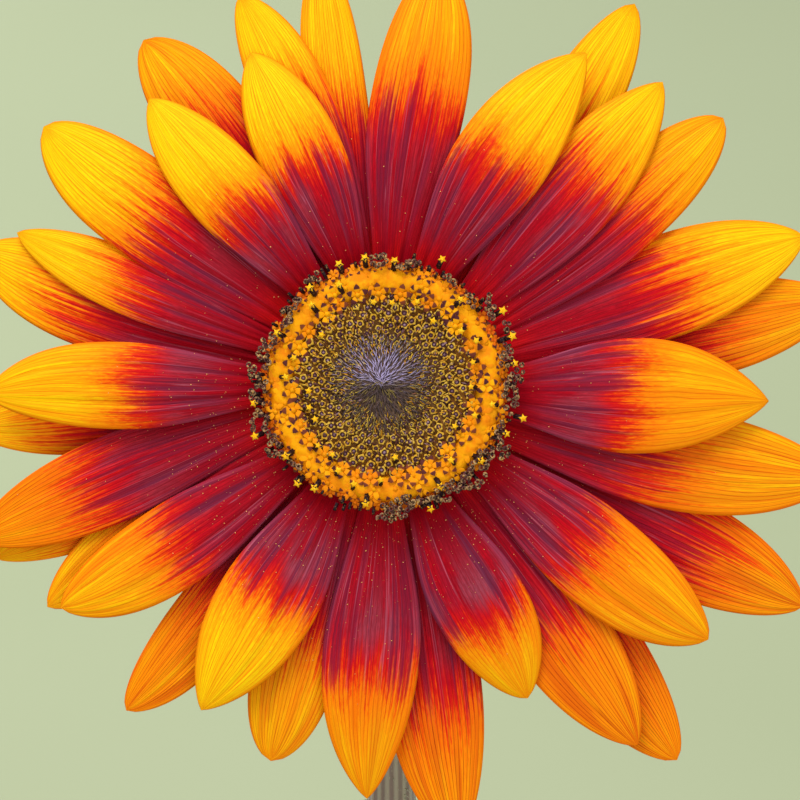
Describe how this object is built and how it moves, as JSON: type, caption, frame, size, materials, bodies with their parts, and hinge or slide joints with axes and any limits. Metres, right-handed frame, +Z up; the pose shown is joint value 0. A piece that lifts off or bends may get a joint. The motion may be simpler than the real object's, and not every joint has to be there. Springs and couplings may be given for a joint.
{
  "type": "potted sunflower",
  "caption": "Short potted sunflower with one two-coloured flower head, crimson petals with golden tips, toothed leaves and a plain clay pot.",
  "frame": {"origin": "centre of the pot's flat underside", "axes": "+Z up along the plant, -Y the way the flower head faces, +X to the right of someone facing the flower"},
  "size_m": [0.2736, 0.2578, 0.4849],
  "materials": {
    "clay": "matte",
    "soil": "matte",
    "stem": "matte",
    "leaf": "satin",
    "bract": "matte",
    "petal": "satin",
    "disc": "matte"
  },
  "bodies": {
    "root": {"pot": "clay", "soil": "soil", "stem": "stem", "leaf_1": "leaf", "leaf_2": "leaf", "leaf_3": "leaf", "leaf_4": "leaf", "leaf_5": "leaf", "leaf_6": "leaf", "leaf_7": "leaf", "leaf_8": "leaf", "leaf_9": "leaf", "leaf_10": "leaf", "receptacle": "bract", "petals": "petal", "disc_florets": "disc"}
  },
  "joints": []
}
